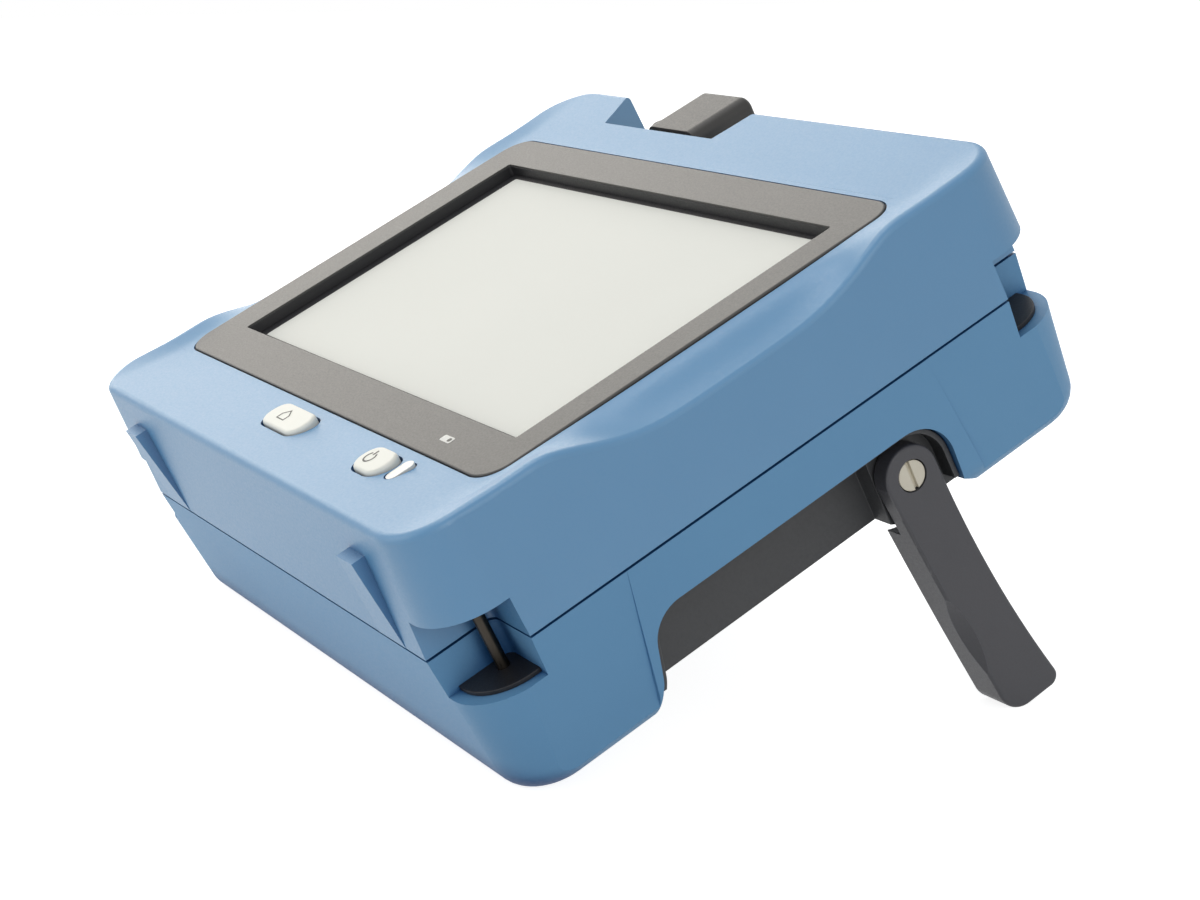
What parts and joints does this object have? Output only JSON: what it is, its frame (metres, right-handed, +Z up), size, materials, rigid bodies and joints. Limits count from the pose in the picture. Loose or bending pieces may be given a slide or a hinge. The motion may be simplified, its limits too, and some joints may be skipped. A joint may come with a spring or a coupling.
{
  "type": "optical time domain reflectometer",
  "caption": "Handheld fibre tester with a large screen, grey blue moulded case, corner strap pockets and folding side legs, standing tilted.",
  "frame": {"origin": "bottom centre of the whole instrument, on the floor that its lower feet and the open legs stand on", "axes": "+X along the long side of the case, +Y to the back, +Z up; the screen faces -Y and up"},
  "size_m": [0.2, 0.1726, 0.132],
  "materials": {
    "shell_pale": "fine moulded grain, light grey blue",
    "shell_blue": "fine moulded grain, mid grey blue",
    "gasket_rubber": "matte",
    "bezel_grey": "satin grain",
    "touch_glass": "clear with a satin anti-glare face",
    "lcd_face": "off-white switched-off display",
    "key_white": "satin",
    "light_white": "milky light pipe",
    "mat_silicone": "matte translucent silicone",
    "board_green": "solder mask",
    "steel": "brushed",
    "pin_dark": "blackened",
    "plate_dark": "fine grain",
    "cap_taupe": "soft matte",
    "adapter_green": "satin",
    "port_nickel": "nickel plate",
    "housing_dark": "fine grain",
    "leg_dark": "fine grain",
    "battery_label": "shrink sleeve",
    "screw_cream": "satin coat",
    "screw_zinc": "zinc plate",
    "washer_white": "acetal",
    "module_aluminium": "bead blasted"
  },
  "bodies": {
    "case": {"front_shell": "shell_pale", "front_shell_ends": "shell_pale", "rear_shell": "shell_blue", "rear_shell_ends": "shell_blue", "case_gasket": "gasket_rubber", "screen_bezel": "bezel_grey", "touch_panel": "touch_glass", "lcd_module": "lcd_face", "display_bracket": "steel", "status_light_pipe": "light_white", "keypad_mat": "mat_silicone", "keypad_board": "board_green", "strap_pins": "pin_dark", "anchor_plates": "plate_dark", "connector_plate": "plate_dark", "cap_hinge_pin": "steel", "test_port_adapter": "adapter_green", "fault_locator_port": "port_nickel", "power_meter_port": "port_nickel", "usb_socket": "port_nickel", "charge_jack": "port_nickel", "stand_housing": "housing_dark", "battery_door": "housing_dark", "battery_pack": "battery_label", "door_screws": "screw_zinc", "case_screws": "screw_zinc", "stand_screws": "screw_cream", "stand_washers": "washer_white", "main_board": "board_green", "board_standoffs": "steel", "optical_module": "module_aluminium"},
    "leg_right": {"stand_leg_right": "leg_dark"},
    "leg_left": {"stand_leg_left": "leg_dark"},
    "home_key": {"home_button": "key_white"},
    "power_key": {"power_button": "key_white"},
    "cap": {"dust_cap": "cap_taupe"}
  },
  "joints": [
    {"name": "leg_right_hinge", "type": "hinge", "parent": "case", "child": "leg_right", "pos_m": [0.0931, 0.03597, 0.05867], "axis": [-1, 0, 0], "range_deg": [0, 92]},
    {"name": "leg_left_hinge", "type": "hinge", "parent": "case", "child": "leg_left", "pos_m": [-0.0931, 0.03597, 0.05867], "axis": [-1, 0, 0], "range_deg": [0, 92]},
    {"name": "home_key_press", "type": "slide", "parent": "case", "child": "home_key", "axis": [0, 0.4482, -0.894], "range_m": [0, 0.0008], "stiffness_N_per_m": 1200, "springref_m": -0.0004},
    {"name": "power_key_press", "type": "slide", "parent": "case", "child": "power_key", "axis": [0, 0.4482, -0.894], "range_m": [0, 0.0008], "stiffness_N_per_m": 1200, "springref_m": -0.0004},
    {"name": "cap_hinge", "type": "hinge", "parent": "case", "child": "cap", "pos_m": [-0.0427, 0.05792, 0.1162], "axis": [0, -0.4482, 0.894], "range_deg": [0, 92]}
  ]
}
